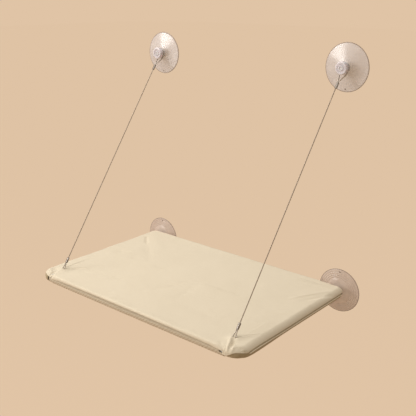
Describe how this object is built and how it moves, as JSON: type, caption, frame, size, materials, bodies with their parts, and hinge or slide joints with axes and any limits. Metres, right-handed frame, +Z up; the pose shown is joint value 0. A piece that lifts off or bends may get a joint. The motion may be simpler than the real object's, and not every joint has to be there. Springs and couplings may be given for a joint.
{
  "type": "window mounted cat perch",
  "caption": "Cat perch for a window pane: a canvas covered tube frame, hinged on lower suction cups and hung by steel cables from upper suction cups with thumb nuts.",
  "frame": {"origin": "on the inner face of the window pane, midway between the centres of the two lower suction cups", "axes": "+X runs right along the window as seen from the room, +Y points into the pane, +Z is up"},
  "size_m": [0.5916, 0.359, 0.5405],
  "materials": {
    "clear_vinyl": "milky clear, smooth",
    "zinc_steel": "zinc plated",
    "spool_nylon": "moulded",
    "smoky_plastic": "translucent grey lavender, moulded",
    "brass": "machined",
    "grey_nylon": "moulded",
    "tube_steel": "powder coated",
    "button_steel": "plated",
    "spring_steel": "bright strip",
    "cable_steel": "stranded, bright",
    "ferrule_metal": "pressed",
    "cream_canvas": "woven, padded",
    "closure_tape": "hook and loop pile"
  },
  "bodies": {
    "window_side": {"suction_cup_upper_left": "clear_vinyl", "suction_cup_upper_right": "clear_vinyl", "stud_upper_left": "zinc_steel", "stud_upper_right": "zinc_steel", "cable_spool_left": "spool_nylon", "cable_spool_right": "spool_nylon", "cable_eye_upper_left": "cable_steel", "cable_eye_upper_right": "cable_steel", "ferrule_upper_left": "ferrule_metal", "ferrule_upper_right": "ferrule_metal", "cable_run_left": "cable_steel", "cable_run_right": "cable_steel", "suction_cup_lower_left": "clear_vinyl", "suction_cup_lower_right": "clear_vinyl", "eye_bracket_lower_left": "grey_nylon", "eye_bracket_lower_right": "grey_nylon"},
    "platform": {"button_spring_front_left": "spring_steel", "button_spring_front_right": "spring_steel", "button_spring_rear_left": "spring_steel", "button_spring_rear_right": "spring_steel", "cable_eye_lower_left": "cable_steel", "cable_eye_lower_right": "cable_steel", "cable_ring_left": "tube_steel", "cable_ring_right": "tube_steel", "closure_hook_tape": "closure_tape", "closure_loop_tape": "closure_tape", "corner_front_left": "grey_nylon", "corner_front_right": "grey_nylon", "corner_rear_left": "grey_nylon", "corner_rear_right": "grey_nylon", "cover_flap_front": "cream_canvas", "cover_flap_rear": "cream_canvas", "cover_flap_side_left": "cream_canvas", "cover_flap_side_right": "cream_canvas", "cover_top": "cream_canvas", "ferrule_lower_left": "ferrule_metal", "ferrule_lower_right": "ferrule_metal", "frame_tube_front": "tube_steel", "frame_tube_rear": "tube_steel", "frame_tube_side_left": "tube_steel", "frame_tube_side_right": "tube_steel", "hinge_pin_left": "zinc_steel", "hinge_pin_right": "zinc_steel"},
    "knob_nut_left": {"knob_left": "smoky_plastic", "knob_insert_left": "brass"},
    "knob_nut_right": {"knob_right": "smoky_plastic", "knob_insert_right": "brass"},
    "button_front_left": {"snap_button_front_left": "button_steel"},
    "button_front_right": {"snap_button_front_right": "button_steel"},
    "button_rear_left": {"snap_button_rear_left": "button_steel"},
    "button_rear_right": {"snap_button_rear_right": "button_steel"}
  },
  "joints": [
    {"name": "platform_lift", "type": "hinge", "parent": "window_side", "child": "platform", "pos_m": [0, -0.02, 0.0045], "axis": [-1, 0, 0], "range_deg": [0, 38], "deforming": ["cable_run_left", "cable_run_right"]},
    {"name": "knob_turn_left", "type": "hinge", "parent": "window_side", "child": "knob_nut_left", "pos_m": [-0.2359, -0.02, 0.4485], "axis": [0, -1, 0], "range_deg": [0, 2160]},
    {"name": "knob_turn_right", "type": "hinge", "parent": "window_side", "child": "knob_nut_right", "pos_m": [0.2359, -0.02, 0.4485], "axis": [0, -1, 0], "range_deg": [0, 2160]},
    {"name": "button_press_front_left", "type": "slide", "parent": "platform", "child": "button_front_left", "axis": [0, -1, 0], "range_m": [0, 0.0022], "stiffness_N_per_m": 2000, "springref_m": -0.002, "deforming": ["button_spring_front_left"]},
    {"name": "button_press_front_right", "type": "slide", "parent": "platform", "child": "button_front_right", "axis": [0, -1, 0], "range_m": [0, 0.0022], "stiffness_N_per_m": 2000, "springref_m": -0.002, "deforming": ["button_spring_front_right"]},
    {"name": "button_press_rear_left", "type": "slide", "parent": "platform", "child": "button_rear_left", "axis": [0, 1, 0], "range_m": [0, 0.0022], "stiffness_N_per_m": 2000, "springref_m": -0.002, "deforming": ["button_spring_rear_left"]},
    {"name": "button_press_rear_right", "type": "slide", "parent": "platform", "child": "button_rear_right", "axis": [0, 1, 0], "range_m": [0, 0.0022], "stiffness_N_per_m": 2000, "springref_m": -0.002, "deforming": ["button_spring_rear_right"]}
  ]
}
